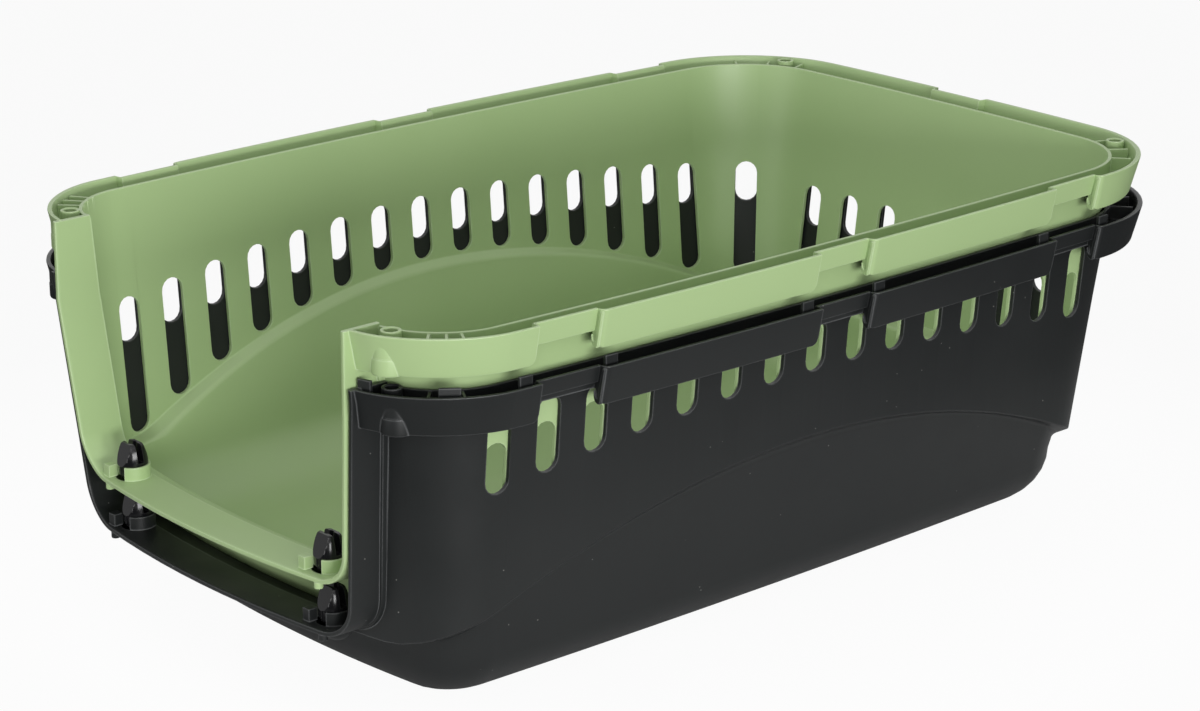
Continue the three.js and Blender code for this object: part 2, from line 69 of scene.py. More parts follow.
# %% [markdown]
# Both halves come from the same kind of mould, so one set of sizes describes them. They are repeated here
# in millimetres from the part's source, because this script reads nothing but the frame. Depth is counted
# down from a half's own rim, and y from the door end (minus) to the back wall (plus).

# %% Sizes that both halves share
rim_half_width, rim_front_reach, rim_back_reach = 154.5, 240.0, 241.0
rim_front_radius, rim_back_radius = 40.0, 59.0
side_bow, front_bow, back_bow = 6.9, 21.4, 5.2
wall, web_wall, skirt_wall, shell_depth = 2.0, 1.6, 2.0, 154.0
wall_top_drop, channel_depth = 1.5, 8.5
tub_side, tub_front, tub_back = 14.0, 15.5, 16.0
tub_front_radius, tub_back_radius = 29.0, 43.0
side_draft, front_draft, back_draft = 0.0845, 0.08, 0.125
arch_middle, arch_span, ledge_end, ledge_drop = -3.0, 196.0, 113.0, 7.0
floor_start = ledge_end + ledge_drop + 3.0
lower_side, lower_back, lower_draft = 33.0, 39.5, 0.2
lower_front_radius, lower_back_radius = 22.0, 33.0
run_side, run_front, run_back = 42.0, 30.0, 20.0
floor_front_radius, floor_back_radius = 12.0, 16.0
skirt_height, skirt_taper = 17.0, 3.5
slot_line_middle, slot_line_fall, slot_line_span, base_slot_head = 37.4, 22.0, 220.0, 12.5
front_ledge_start, front_ledge_run = -206.0, 16.0
gap_length, gap_rear, gap_inset = 33.5, 18.4, 4.0
side_gaps = (-153.0, 0.0, 153.0)
slot_radius, slot_pitch, back_slot_pitch = 5.75, 25.0, 26.0
sill_depth, door_lean, door_corner, frame_wall = 113.0, 0.118, 18.0, 2.2
catch_x, nest_step = 72.0, 23.6

green_half = {
    "name": "green_roof_half", "body": "top", "node": "top_shell", "rim_z": shell_depth + nest_step,
    "rim_out": 0.0, "tub_out": 0.0, "arch": 70.5, "rises": (59.5, 48.0), "ledge_ends": (117.5, 116.0),
    "door_half": 102.3, "lean_start": 36.0, "frame_reach": 241.2, "frame_lean": 7.0, "frame_bulge": 12.0,
    "gap_height": 10.0, "ledge_lip": 0.0, "lower_front": 34.0, "catch_y": -217.3, "slots_hang": False,
}
black_half = {
    "name": "charcoal_base_half", "body": "base", "node": "base_shell", "rim_z": shell_depth,
    "rim_out": 1.6, "tub_out": 0.306, "arch": 65.0, "rises": (48.0, 48.0), "ledge_ends": (117.6, 113.0),
    "door_half": 105.9, "lean_start": 6.0, "frame_reach": 241.6, "frame_lean": 8.9, "frame_bulge": 3.0,
    "gap_height": 7.5, "ledge_lip": 0.7, "lower_front": 40.0, "catch_y": -215.8, "slots_hang": True,
}
length_shift = -4.168


def place(half, x, y, depth):
    """A point of a half, given in its own millimetres, in the frame's metres."""
    return Vector((x * MM, (y + length_shift) * MM, (half["rim_z"] - depth) * MM))


print("length shift", length_shift, "mm")

# %% [markdown]
# The rim's plan is a round-cornered rectangle, but the sides and ends of the real moulding bow outwards a
# little, which keeps such thin walls from looking caved in. So each outline is drawn as a plain rounded
# rectangle first, and then bowed. A form says how far an outline lies inside the rim, and its two radii.


# %% Outlines
def bow(x, y):
    reach, depth = np.where(y < 0, rim_front_reach, rim_back_reach), np.where(y < 0, front_bow, back_bow)
    shrunk_y = y * (1 - depth / reach * (x / rim_half_width) ** 2)
    return x * (1 - side_bow / rim_half_width * (y / rim_back_reach) ** 2), shrunk_y


def outline(form):
    """
    The right half of an outline, from the front middle to the back middle: points, length so far and breaks
    between its zones. The side has 81 points, and each other zone 41.
    """
    side, front, back, front_r, back_r = form
    half = rim_half_width - side
    y0, y1 = front - rim_front_reach, rim_back_reach - back
    quarter = np.linspace(0, math.pi / 2, 41)
    xs = [np.linspace(0, half - front_r, 41), half - front_r + front_r * np.sin(quarter)]
    ys = [np.full(41, y0), y0 + front_r - front_r * np.cos(quarter)]
    xs += [np.full(81, half), half - back_r + back_r * np.cos(quarter)]
    ys += [np.linspace(y0 + front_r, y1 - back_r, 81), y1 - back_r + back_r * np.sin(quarter)]
    xs.append(np.linspace(half - back_r, 0, 41))
    ys.append(np.full(41, y1))
    x, y = bow(np.concatenate(xs), np.concatenate(ys))
    steps = np.hypot(np.diff(x), np.diff(y))
    length = np.concatenate([[0], np.cumsum(steps)])
    breaks = [0, length[40], length[81], length[162], length[203], length[-1]]
    return x, y, length, np.array(breaks)


def rim_form(inset):
    return inset, inset, inset, rim_front_radius, rim_back_radius


def upper_form(half, depth, thick):
    inset = thick - half["tub_out"]
    return (
        tub_side + side_draft * depth + inset, tub_front + front_draft * depth + inset,
        tub_back + back_draft * depth + inset, tub_front_radius - thick, tub_back_radius - thick,
    )


def lower_form(half, depth, angle, thick):
    run = 1 - math.cos(angle)
    inset = min(0, depth - floor_start) * lower_draft + thick * math.cos(angle) - half["tub_out"]
    front_r = (lower_front_radius - thick) * (1 - run) + floor_front_radius * run
    back_r = (lower_back_radius - thick) * (1 - run) + floor_back_radius * run
    sides = (lower_side + run_side * run, half["lower_front"] + run_front * run, lower_back + run_back * run)
    return tuple(value + inset for value in sides) + (front_r, back_r)


print("rim outline is", round(2 * outline(rim_form(0))[2][-1]), "mm long")

# %% [markdown]
# A mesh keeps round slot ends and crisp gap ends only where it has an edge along them. So the columns of
# the mesh are chosen first: closely spaced over each slot, following a circle's sines, and over the ends
# of the rim's gaps, with wide steps between. Every ring of the shell then uses the same columns.


# %% Columns of the shells
slot_turns = np.linspace(-math.pi / 2, math.pi / 2, 9)
slot_offsets = slot_radius * np.sin(slot_turns)
side_slots = [arch_middle + slot_pitch * i for i in range(-7, 8)]
back_slots = [back_slot_pitch * i for i in range(3, -1, -1)]
corner_centre = np.array([rim_half_width - tub_side, rim_back_reach - tub_back]) - tub_back_radius
corner_turn = 0.48 * math.pi / 2
corner_across = np.array([math.cos(corner_turn), -math.sin(corner_turn)])
gap_front_steps = (-3, -2.4, -1.7, -1, -0.4, 0, 0.25, 0.55, 0.8)
gap_rear_steps = (-2.95, -2.6, -2.55, -2.4, -2.1, -1.7, -1.2, -0.6, 0)
gap_column_radius, gap_column_reach, gap_foot_radius = 2.5, 2.58, 3.0


def spaced(values, extra):
    """Adds the extra places that don't crowd a place that is already there."""
    for value in extra:
        if min(abs(value - known) for known in values) > 0.04:
            values.append(value)
    return sorted(values)


def make_columns():
    side = [slot + offset for slot in side_slots for offset in slot_offsets]
    gap_ends = [g - gap_length / 2 + s for g in side_gaps for s in gap_front_steps]
    gap_ends += [g + gap_rear + s for g in side_gaps for s in gap_rear_steps]
    side = spaced(side, gap_ends)
    side = spaced(side, [slot + slot_pitch / 2 for slot in side_slots[:-1]])
    back = [slot + offset for slot in back_slots for offset in slot_offsets if slot + offset >= 0]
    back = spaced(back, [gap_length / 2 - s for s in gap_front_steps])
    back = spaced(back, [slot - back_slot_pitch / 2 for slot in back_slots[:-1]])
    columns = [("front", x) for x in np.linspace(0, 112, 15)]
    columns += [("fill", 0)] * 15
    columns += [("side", y) for y in side]
    columns += [("fill", 0)] * 8
    columns += [("corner", offset) for offset in -slot_offsets]
    columns += [("fill", 0)] * 7
    return columns + [("back", x) for x in reversed(back)]


columns = make_columns()
placed = [i for i, (kind, value) in enumerate(columns) if kind != "fill"]
# The stretch of an outline's points where each kind of column can lie
parts = {"front": slice(0, 60), "side": slice(60, 190), "corner": slice(150, None), "back": slice(185, None)}
print(len(columns), "columns on one side")


def length_at(kind, value, x, y, length):
    """How far along an outline a column lies, found on the coordinate that rises or falls there."""
    across = x * corner_across[0] + y * corner_across[1] - corner_centre @ corner_across
    ruler = {"front": x, "side": y, "corner": -across, "back": -x}[kind][parts[kind]]
    return np.interp(value if kind in ("front", "side") else -value, ruler, length[parts[kind]])


def walk(form):
    """Every column's place on an outline: at its true x or y, or evenly between where it only fills."""
    x, y, length = outline(form)[:3]
    lengths = [length_at(*columns[i], x, y, length) for i in placed]
    lengths = np.interp(np.arange(len(columns)), placed, lengths)
    return np.interp(lengths, length, x), np.interp(lengths, length, y)


def shares_of_zones(form):
    """How many zones, with a share of the last, each column has passed."""
    y, length, breaks = outline(form)[1:]
    px, py = walk(form)
    order = np.interp(py + px * 1e-9, np.maximum.accumulate(y) + np.arange(len(y)) * 1e-9, length)
    return np.interp(order, breaks, np.arange(6))


def walk_by_zone(form, zone_shares):
    """Every column's place on one of the lower outlines, at its share of each side and corner."""
    x, y, length, breaks = outline(form)
    lengths = np.interp(zone_shares, np.arange(6), breaks)
    return np.interp(lengths, length, x), np.interp(lengths, length, y)


def slot_of(i):
    """Which slot a column crosses, and how far from the slot's middle line."""
    kind, value = columns[i]
    if kind == "corner":
        return ("corner", 0, corner_centre[1]), value
    for slot in {"side": side_slots, "back": back_slots}.get(kind, ()):
        if abs(value - slot) <= slot_radius + 1e-6:
            return (kind, slot, slot if kind == "side" else rim_back_reach - tub_back - wall), value - slot
    return None, 0


# %% [markdown]
# The slots of the two halves meet at one gently falling line. The roof's slots run from that line to the
# arched ledge, and the base's hang from its rim. Two rings of each wall follow the round heads and feet of
# the slots, so that a slot is only a matter of taking out the faces between these rings.


# %% Ledge and slot lines
def ledge_depth(half, y):
    """The ledge falls from the middle towards both ends of a half, down to its depth at each end."""
    in_front = np.asarray(y) < 0
    arch = half["arch"] + np.where(in_front, *half["rises"]) * ((y - arch_middle) / arch_span) ** 2
    end = np.where(in_front, *half["ledge_ends"])
    if not half["slots_hang"]:
        share = np.clip((y - front_ledge_start) / front_ledge_run, 0, 1)
        end = np.where(in_front, sill_depth + (end - sill_depth) * share, end)
    return np.minimum(arch, end)


def slot_span(half, y):
    """Depths of a slot's head and foot."""
    line = slot_line_middle + slot_line_fall * (y / slot_line_span) ** 2
    if half["slots_hang"]:
        return base_slot_head, line - 2
    return line, ledge_depth(half, y) - 1.5


def slot_rows(half):
    """Depths of the rings along the slots' heads and feet, column by column."""
    heads, feet = np.full(len(columns), np.nan), np.full(len(columns), np.nan)
    for i in range(len(columns)):
        slot, offset = slot_of(i)
        if slot:
            head, foot = slot_span(half, slot[2])
            rise = slot_radius - math.sqrt(max(0, slot_radius**2 - offset**2))
            heads[i], feet[i] = head + rise, foot - rise
    known = np.flatnonzero(~np.isnan(heads))
    places = np.arange(len(columns))
    return np.interp(places, known, heads[known]), np.interp(places, known, feet[known])


def rounded_in(end):
    """A quarter circle's fall next to the end of a gap, and past it the full inset."""
    if end > gap_column_reach:
        return gap_inset
    return gap_column_radius - math.sqrt(max(0, gap_column_radius**2 - end**2))


def gap_shape(half):
    """How far each column is set in over a gap, as a share, and how deep the skirt hangs there."""
    share, foot = np.zeros(len(columns)), np.full(len(columns), skirt_height)
    for i, (kind, value) in enumerate(columns):
        ends = []
        if kind == "side":
            ends = [(value - gap + gap_length / 2, gap + gap_rear - value) for gap in side_gaps]
        if kind == "back":
            ends = [(gap_length / 2 - value, 99.0)]
        for start, end in ends:
            if -gap_foot_radius < start <= 0:
                fall = math.sqrt(gap_foot_radius**2 - (gap_foot_radius + start) ** 2)
                foot[i] = skirt_height - gap_foot_radius + fall
            if 0 < start and 0 < end:
                share[i] = min(1, start / 0.8, rounded_in(end) / gap_inset)
                foot[i] = half["gap_height"] if start >= 0.5 else skirt_height - gap_foot_radius
                if end <= gap_column_reach:
                    foot[i] = skirt_height - rounded_in(end)
    return share, foot


gap_shares = gap_shape(green_half)[0]
print("slot line's depth", [round(slot_span(green_half, y)[0], 1) for y in (0, 223)])

# %% [markdown]
# Each half is one injection moulding of even thickness. It is made as a pot is thrown: one ring of edges
# starts as the inside floor and is extruded again and again, up the inside, over the wall's lip, through
# the rim channel, over the skirt and down the outside, and each new ring is moved to its own outline.
# Extruding keeps the wall closed and the columns true, which a solid with holes cut in it wouldn't.


# %% Rings of one half
# Shares of the way in and down over the ledge, from its filleted foot to its rounded edge
ledge_profile = [(1, 1), (0.975, 0.85), (0.92, 0.71), (0.83, 0.58), (0.7, 0.47)]
ledge_profile += [(0.12, 0.16), (0.05, 0.12), (0.012, 0.06), (0, 0)]


def tub_rings(half, thick):
    """Rings of one face of the tub from the floor up to the slots' heads, as (x, y, depth) arrays."""
    zones = shares_of_zones(upper_form(half, ledge_end, thick))
    rings = []
    for angle in np.linspace(math.pi / 2, 0, 10):
        depth = floor_start + (shell_depth - floor_start - thick) * math.sin(angle)
        x, y = walk_by_zone(lower_form(half, depth, angle, thick), zones)
        rings.append((x, y, np.full(len(columns), depth)))
    y_on_wall = walk(upper_form(half, ledge_end, 0))[1]
    edge_depth = ledge_depth(half, y_on_wall) - 0.4 * thick
    foot_depth = np.minimum(edge_depth + ledge_drop, floor_start - 3 - 0.4 * thick)
    lip = 0 if thick else half["ledge_lip"]
    edge = by_depth(half, edge_depth, thick - lip, zones, False)
    foot = by_depth(half, foot_depth, thick, zones, True)
    for across, down in ledge_profile:
        x, y = (edge[k] + (foot[k] - edge[k]) * across for k in (0, 1))
        rings.append((x, y, edge_depth + (foot_depth - edge_depth) * down))
    for depth in slot_rows(half)[::-1]:
        x, y = by_depth(half, depth, thick, zones, False)
        rings.append((x, y, depth))
    return rings


def by_depth(half, depths, thick, zones, is_lower):
    """Places on the wall where each column has a depth of its own, between a high and a low outline."""
    low, high = depths.min(), depths.max() + 1e-6
    if is_lower:
        first, last = (walk_by_zone(lower_form(half, d, 0, thick), zones) for d in (low, high))
    else:
        first, last = (walk(upper_form(half, d, thick)) for d in (low, high))
    share = (depths - low) / (high - low)
    return tuple(first[k] + (last[k] - first[k]) * share for k in (0, 1))


def wall_ring(half, depth, thick):
    x, y = walk(upper_form(half, depth, thick))
    return x, y, np.full(len(columns), depth)


def skirt_ring(half, depths, thick):
    """A ring on the leaning skirt, set in over the gaps."""
    depths = np.broadcast_to(depths, len(columns)).astype(float)
    share = depths / skirt_height
    faces = []
    for set_in in (0, gap_inset):
        low, high = (walk(rim_form(thick - half["rim_out"] + lean + set_in)) for lean in (0, skirt_taper))
        faces.append([low[k] + (high[k] - low[k]) * share for k in (0, 1)])
    x, y = (plain + (gap - plain) * gap_shares for plain, gap in zip(*faces))
    return x, y, depths


def shell_rings(half):
    """All rings from the inside of the floor to its underside, as a depth and a distance inside the face."""
    inside, outside = tub_rings(half, wall), tub_rings(half, 0)
    feet = gap_shape(half)[1]
    under = channel_depth + web_wall
    wall_top = [(0.6, wall), (0.15, wall - 0.2), (0, wall - 0.6), (0, 0.6), (0.15, 0.2), (0.6, 0)]
    channel_wall = [(channel_depth - 0.8, 0), (channel_depth - 0.2, -0.2), (channel_depth, -0.9)]
    skirt = [
        (channel_depth, skirt_wall + 0.8), (channel_depth - 0.8, skirt_wall), (0.8, skirt_wall),
        (0.2, skirt_wall - 0.2), (0, skirt_wall - 0.7), (0, 0.7), (0.2, 0.2), (0.7, 0),
        (feet - 0.6, 0), (feet - 0.15, 0.15), (feet, 0.6), (feet, skirt_wall - 0.4),
        (feet - 0.4, skirt_wall), (under + 0.5, skirt_wall), (under, skirt_wall + 0.5),
    ]
    rings = inside + [wall_ring(half, wall_top_drop + drop, thick) for drop, thick in wall_top]
    rings += [wall_ring(half, depth, thick) for depth, thick in channel_wall]
    rings += [skirt_ring(half, depth, thick) for depth, thick in skirt]
    rings += [wall_ring(half, under, -0.6), wall_ring(half, under + 0.6, 0)]
    return rings + outside[::-1], len(inside)


def whole_ring(ring):
    """The right half of a ring and its mirror image, as one closed row of (x, y, depth)."""
    x, y, depth = ring
    right = list(zip(x, y, depth))
    return right + [(-a, b, c) for a, b, c in right[-2:0:-1]]


green_rings = shell_rings(green_half)[0]
print(len(green_rings), "rings of", len(whole_ring(green_rings[0])), "points")


# %% Extrude a half from its rings
def edges_of(mesh, ring):
    return [mesh.edges.get((ring[i], ring[i - 1])) for i in range(len(ring))]


def next_ring(mesh, ring):
    """Extrudes a closed ring of edges once, and gives the new ring in the same order."""
    made = bmesh.ops.extrude_edge_only(mesh, edges=edges_of(mesh, ring))["geom"]
    fresh = {v for v in made if isinstance(v, bmesh.types.BMVert)}
    return [next(e.other_vert(v) for e in v.link_edges if e.other_vert(v) in fresh) for v in ring]


def close_end(mesh, ring):
    """Caps the last ring and turns every face outwards."""
    bmesh.ops.contextual_create(mesh, geom=edges_of(mesh, ring))
    bmesh.ops.recalc_face_normals(mesh, faces=mesh.faces)


def extrude_shell(half):
    rings, inside_count = shell_rings(half)
    mesh = bmesh.new()
    count = len(whole_ring(rings[0]))
    row = bmesh.ops.create_circle(mesh, cap_ends=True, segments=count, radius=MM)["verts"]
    rows = []
    for ring in rings:
        if rows:
            row = next_ring(mesh, row)
        for vertex, point in zip(row, whole_ring(ring)):
            vertex.co = place(half, *point)
        rows.append(row)
    close_end(mesh, row)
    return mesh, rows, inside_count


def open_slots(mesh, rows, inside_count):
    """Takes the faces of each slot out of both skins and bridges the two openings."""
    right, count, total = len(columns), len(rows[0]), len(rows)
    skins = [(inside_count - 1, inside_count - 2), (total - inside_count, total - inside_count + 1)]
    slots = {}
    for i in range(count):
        j = (i + 1) % count
        a, b = (slot_of(k if k < right else count - k)[0] for k in (i, j))
        if a and a == b:
            on_both_sides = a[:2] == ("back", 0)
            slots.setdefault(a[:2] + (on_both_sides or i < right - 1,), []).append((i, j))
    rims = []
    for pairs in slots.values():
        loops = []
        for head, foot in skins:
            faces = []
            for i, j in pairs:
                corner = {rows[head][i], rows[head][j], rows[foot][i], rows[foot][j]}
                faces += [f for f in rows[head][i].link_faces if set(f.verts) == corner]
            loops.append([e for f in faces for e in f.edges if sum(g in faces for g in e.link_faces) == 1])
            bmesh.ops.delete(mesh, geom=faces, context="FACES")
        bmesh.ops.bridge_loops(mesh, edges=loops[0] + loops[1])
        rims += loops[0] + loops[1]
    bmesh.ops.bevel(
        mesh, geom=rims, offset=0.28 * MM, offset_type="OFFSET", segments=2, profile=0.5, material=-1,
        affect="EDGES", clamp_overlap=False,
    )
    bmesh.ops.recalc_face_normals(mesh, faces=mesh.faces)
    return len(slots)


def object_of(mesh, name):
    data = bpy.data.meshes.new(name)
    mesh.to_mesh(data)
    mesh.free()
    piece = bpy.data.objects.new(name, data)
    bpy.context.scene.collection.objects.link(piece)
    return piece


# %% [markdown]
# The door opening is cut through the front wall and the rim in one go with a Boolean, because its outline
# ignores the columns. The cut is a little wider than the opening: the frame round it is a band of its own
# that starts at the opening's true edge and hides the cut.


# %% Door opening
def door_outline(half, top, out):
    """The opening from the top of the right jamb, round under the sill, to the top of the left one."""
    line = half["door_half"] + door_lean * half["lean_start"]
    centre_depth = sill_depth - door_corner
    centre_x = line - door_lean * centre_depth - door_corner * math.hypot(1, door_lean)
    points = [(half["door_half"] + out, top), (half["door_half"] + out, half["lean_start"])]
    radius = door_corner + out
    for angle in np.linspace(math.atan(door_lean), math.pi / 2, 13):
        points.append((centre_x + radius * math.cos(angle), centre_depth + radius * math.sin(angle)))
    points += [(centre_x * share, sill_depth + out) for share in (0.8, 0.6, 0.4, 0.2, 0)]
    return points + [(-x, depth) for x, depth in points[-2::-1]]


def frame_front(half, x, depth):
    """The front edge of the frame leans back towards the sill, and stands forward a little at mid-height."""
    share = min(1, depth / sill_depth)
    lean = half["frame_lean"] * share - half["frame_bulge"] * share * (1 - share)
    return front_bow * (x / rim_half_width) ** 2 + lean - half["frame_reach"]


def front_wall_y(x, depth, half, thick):
    reach = rim_front_reach - tub_front - front_draft * depth - thick + half["tub_out"]
    return -reach * (1 - front_bow / rim_front_reach * (x / rim_half_width) ** 2)


def prism(points, step):
    """A solid between an outline and the same outline moved one step."""
    mesh = bmesh.new()
    face = mesh.faces.new([mesh.verts.new(point) for point in points])
    made = bmesh.ops.extrude_face_region(mesh, geom=[face])["geom"]
    bmesh.ops.translate(mesh, vec=step, verts=[v for v in made if isinstance(v, bmesh.types.BMVert)])
    bmesh.ops.recalc_face_normals(mesh, faces=mesh.faces)
    return mesh


def apply_modifiers(piece):
    graph = bpy.context.evaluated_depsgraph_get()
    finished = bpy.data.meshes.new_from_object(piece.evaluated_get(graph))
    piece.modifiers.clear()
    old, piece.data = piece.data, finished
    bpy.data.meshes.remove(old)
    piece.data.name = piece.name


def cut_with(piece, mesh, use_self=False):
    """Cuts a solid out of a piece. A piece made of solids that overlap needs use_self."""
    cutter = object_of(mesh, "cutter")
    cut = piece.modifiers.new("cut", "BOOLEAN")
    cut.operation = "DIFFERENCE"
    cut.solver = "EXACT"
    cut.use_self = use_self
    cut.object = cutter
    apply_modifiers(piece)
    bpy.data.objects.remove(cutter)


def cut_door(piece, half):
    """Cuts from 250 to 190 mm in front, 0.9 mm wider than the opening all round."""
    points = [place(half, x, -250, depth) for x, depth in door_outline(half, -6, 0.9)]
    cut_with(piece, prism(points, (0, 60 * MM, 0)))


# %% [markdown]
# What stands on the shell is made as closed solids that sink a little into it, as the ribs and bosses of a
# moulding grow out of its wall. Each one starts from a bmesh primitive and has its edges beveled, since no
# moulded edge is sharp.


# %% Solids that stand on a half
def bevel_sharp(mesh, width, angle=0.6):
    sharp = [e for e in mesh.edges if len(e.link_faces) == 2 and e.calc_face_angle(0) > angle]
    bmesh.ops.bevel(
        mesh, geom=sharp, offset=width * MM, offset_type="OFFSET", segments=2, profile=0.5,
        material=-1, affect="EDGES", clamp_overlap=True,
    )


def merge_into(target, mesh, matrix=Matrix.Identity(4)):
    """Adds a finished solid to the mesh that collects a half's details."""
    bmesh.ops.transform(mesh, matrix=matrix, verts=mesh.verts)
    data = bpy.data.meshes.new("part")
    mesh.to_mesh(data)
    mesh.free()
    target.from_mesh(data)
    bpy.data.meshes.remove(data)


def sunk(mesh, low, high, width):
    """Moves a solid so that its depth runs from low to high, and bevels it."""
    bmesh.ops.translate(mesh, vec=(0, 0, -(high + low) / 2 * MM), verts=mesh.verts)
    bevel_sharp(mesh, width)
    return mesh


def block(x_size, y_size, low, high, width=0.35):
    mesh = bmesh.new()
    bmesh.ops.create_cube(mesh, size=1)
    bmesh.ops.scale(mesh, vec=(x_size * MM, y_size * MM, (high - low) * MM), verts=mesh.verts)
    return sunk(mesh, low, high, width)


def post(radius, low, high, width, segments):
    mesh = bmesh.new()
    size = {"radius1": radius * MM, "radius2": radius * MM, "depth": (high - low) * MM}
    bmesh.ops.create_cone(mesh, cap_ends=True, segments=segments, **size)
    return sunk(mesh, low, high, width)


def at(half, x, y, turn=0):
    return Matrix.Translation(place(half, x, y, 0)) @ Matrix.Rotation(turn, 4, "Z")


def beside(spot, x, y):
    return spot @ Matrix.Translation((x * MM, y * MM, 0))


def lathe(profile, segments):
    """A closed body from rings of (radius, height) in millimetres, each ring extruded from the last."""
    mesh = bmesh.new()
    ring = bmesh.ops.create_circle(mesh, cap_ends=True, segments=segments, radius=MM)["verts"]
    directions = [v.co.xy.normalized() for v in ring]
    for i, (radius, height) in enumerate(profile):
        if i:
            ring = next_ring(mesh, ring)
        for vertex, way in zip(ring, directions):
            vertex.co = Vector((way.x * radius * MM, way.y * radius * MM, height * MM))
    close_end(mesh, ring)
    return mesh


def way_out(x, y):
    """The step from a place in the channel to the nearest point of the rim."""
    ox, oy = outline(rim_form(0))[:2]
    dx, dy = np.sign(x) * ox - x, oy - y
    nearest = np.hypot(dx, dy).argmin()
    return Vector((dx[nearest], dy[nearest], 0))


# %% Screw bosses
boss_places = [(114.6, -216.2, -0.7), (-114.6, -216.2, -0.7), (111.8, 225.2, 0.2), (-111.8, 225.2, 0.2)]
boss_radius, boss_foot, arch_radius, arch_flat, arch_inset = 7.3, 17.5, 7.1, 5.7, 8.16
hole_profile = [(2.9, -8), (2.9, -0.5), (3.2, -0.1), (3.5, 0)]
hole_profile += [(3.9, 0), (4.2, -0.15), (4.3, -0.5), (4.3, -9.5)]


def arch_on_skirt(half, x, y):
    """The part of a boss that stands proud of the leaning skirt, as a pointed arch."""
    arch = post(arch_radius, 2, channel_depth + 2, 0.05, 64)
    step = way_out(x, y)
    out = step.normalized()
    bmesh.ops.bisect_plane(
        arch, geom=arch.verts[:] + arch.edges[:] + arch.faces[:], plane_co=out * arch_flat * MM,
        plane_no=-out, clear_outer=True,
    )
    bmesh.ops.contextual_create(arch, geom=[e for e in arch.edges if e.is_boundary])
    merge_into(arch, post(boss_radius, channel_depth + 1, boss_foot, 1.2, 64))
    move = out * (step.length - arch_inset + half["rim_out"])
    return arch, at(half, x + move.x, y + move.y)


def add_bosses(target, half):
    """A ring in the channel, and below it a bulge that stands proud of the skirt as an arch."""
    slide = 4.0 if half["slots_hang"] else 0.0
    for x, y, shift in boss_places:
        merge_into(target, post(boss_radius, channel_depth + 0.8, boss_foot, 1.2, 64), at(half, x, y + shift))
        out = way_out(x, y).normalized() if y < 0 else Vector()
        slid = Vector((-out.y, abs(out.x), 0)) * slide
        merge_into(target, *arch_on_skirt(half, x + math.copysign(slid.x, x), y + shift + slid.y))
        merge_into(target, lathe(hole_profile, 36), at(half, x, y))


# %% Fins, hook plates and tabs of the rim
def rim_place(zone, value, inset):
    """A place on the rim's plan, and the heading of the rim there."""
    x, y, length, breaks = outline(rim_form(inset))
    if zone in parts:
        s = length_at(zone, value, x, y, length)
    else:
        start, end = breaks[1:3] if zone == "front_corner" else breaks[3:5]
        s = start + (end - start) * value
    here = [np.interp(s, length, axis) for axis in (x, y)]
    ahead = [np.interp(s + 0.5, length, axis) for axis in (x, y)]
    return here[0], here[1], math.atan2(ahead[1] - here[1], ahead[0] - here[0])


def add_on_both_sides(target, half, make, spot):
    x, y, heading = spot
    merge_into(target, make(), at(half, x, y, heading))
    merge_into(target, make(), at(half, -x, y, -heading))


def add_fins(target, half):
    """Thin ribs across the channel at the corners, from the skirt to the tub's outer face."""
    start, front_end = skirt_wall + 0.2 - half["rim_out"], tub_side + 0.4 - half["tub_out"]
    corners = [("front_corner", front_end, (0.454, 0.567, 0.667))]
    corners += [("back_corner", front_end - 1.2, (0.42, 0.6, 0.78))]
    for corner, end, shares in corners:
        for share in shares:
            spot = rim_place(corner, share, (start + end) / 2)
            add_on_both_sides(target, half, lambda: block(1.3, end - start, 2, channel_depth + 0.8), spot)


def hook_plate():
    """The plate behind a side gap, inside the leaning skirt: it curls inwards at its foot to a thin lip."""
    profile = [(-1.2, 1.0), (-4.4, 16.8), (-5.6, 17), (-7.2, 16.2), (-8, 14.4), (-8, 11.6), (-7.4, 11.6)]
    profile += [(-7.2, 13.6), (-6.4, 14.6), (-5.4, 14.4), (-4.8, 9.4), (-2.6, 1.0)]
    mesh = prism([(x * MM, 0, -depth * MM) for x, depth in profile], (0, 2 * MM, 0))
    bevel_sharp(mesh, 0.25)
    return mesh


def add_gap_plates(target, half):
    for gap in side_gaps:
        x, y = rim_place("side", gap + gap_rear - 0.6, -half["rim_out"])[:2]
        y -= 2.5
        merge_into(target, hook_plate(), at(half, x, y))
        mirrored = hook_plate()
        bmesh.ops.scale(mirrored, vec=(-1, 1, 1), verts=mirrored.verts)
        bmesh.ops.reverse_faces(mirrored, faces=mirrored.faces)
        merge_into(target, mirrored, at(half, -x, y))


def add_tabs(target, half):
    """Upright tabs inside the skirt, on both sides of each gap and at the front corners."""
    inset = skirt_wall + 2 + 0.9 - 1.6
    reach = gap_length / 2 + 5

    def tab(width=6.5, rise=3.5):
        return block(width, 1.8, -rise, channel_depth + 0.8, 0.5)

    spots = [rim_place("side", gap + way * reach, inset) for gap in side_gaps for way in (-1, 1)]
    spots += [rim_place("back", reach, inset), rim_place("front_corner", 0.04, inset)]
    for spot in spots:
        add_on_both_sides(target, half, tab, spot)
    add_on_both_sides(target, half, lambda: tab(9, 2.6), rim_place("front_corner", 0.58, inset))


# %% [markdown]
# The frame round the door opening is a band that follows the opening's outline, from its proud front edge
# back into the wall. It is extruded section by section along the outline, so that it bows with the rim.


